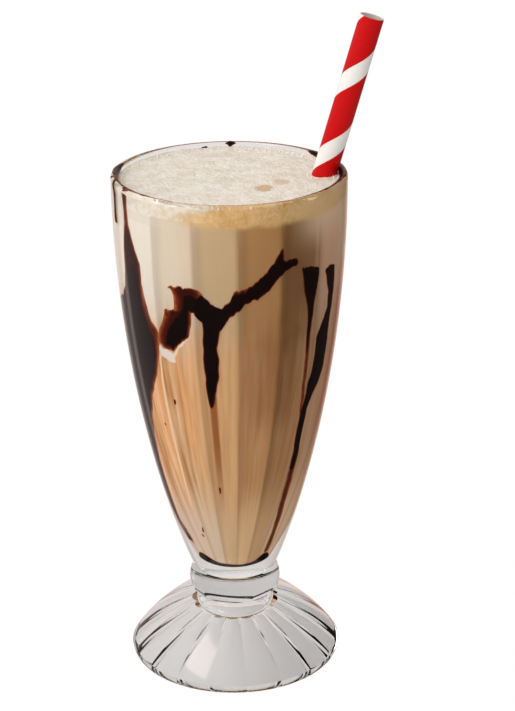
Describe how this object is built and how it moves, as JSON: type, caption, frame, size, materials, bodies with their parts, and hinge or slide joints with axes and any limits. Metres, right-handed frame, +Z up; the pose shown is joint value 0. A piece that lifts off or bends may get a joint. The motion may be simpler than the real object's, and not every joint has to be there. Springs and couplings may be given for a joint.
{
  "type": "iced coffee in a footed soda glass",
  "caption": "Milky iced coffee with crema, a foam top and chocolate sauce streaks in a tall footed, fluted soda glass, with a striped paper straw leaning on the lip.",
  "frame": {"origin": "middle of the foot's ring, on the surface the glass stands on", "axes": "+Z up along the glass's axis, -Y towards the front of the glass, +X to the side the straw leans to"},
  "size_m": [0.0976, 0.085, 0.2468],
  "materials": {
    "glass": "clear pressed glass",
    "coffee": "milky iced coffee, opaque liquid",
    "crema": "golden crema, a fine wet froth",
    "foam": "pale fine foam",
    "straw": "waxed paper, red with a white spiral stripe"
  },
  "bodies": {
    "root": {"glass": "glass", "coffee": "coffee", "crema": "crema", "foam": "foam", "straw": "straw"}
  },
  "joints": []
}
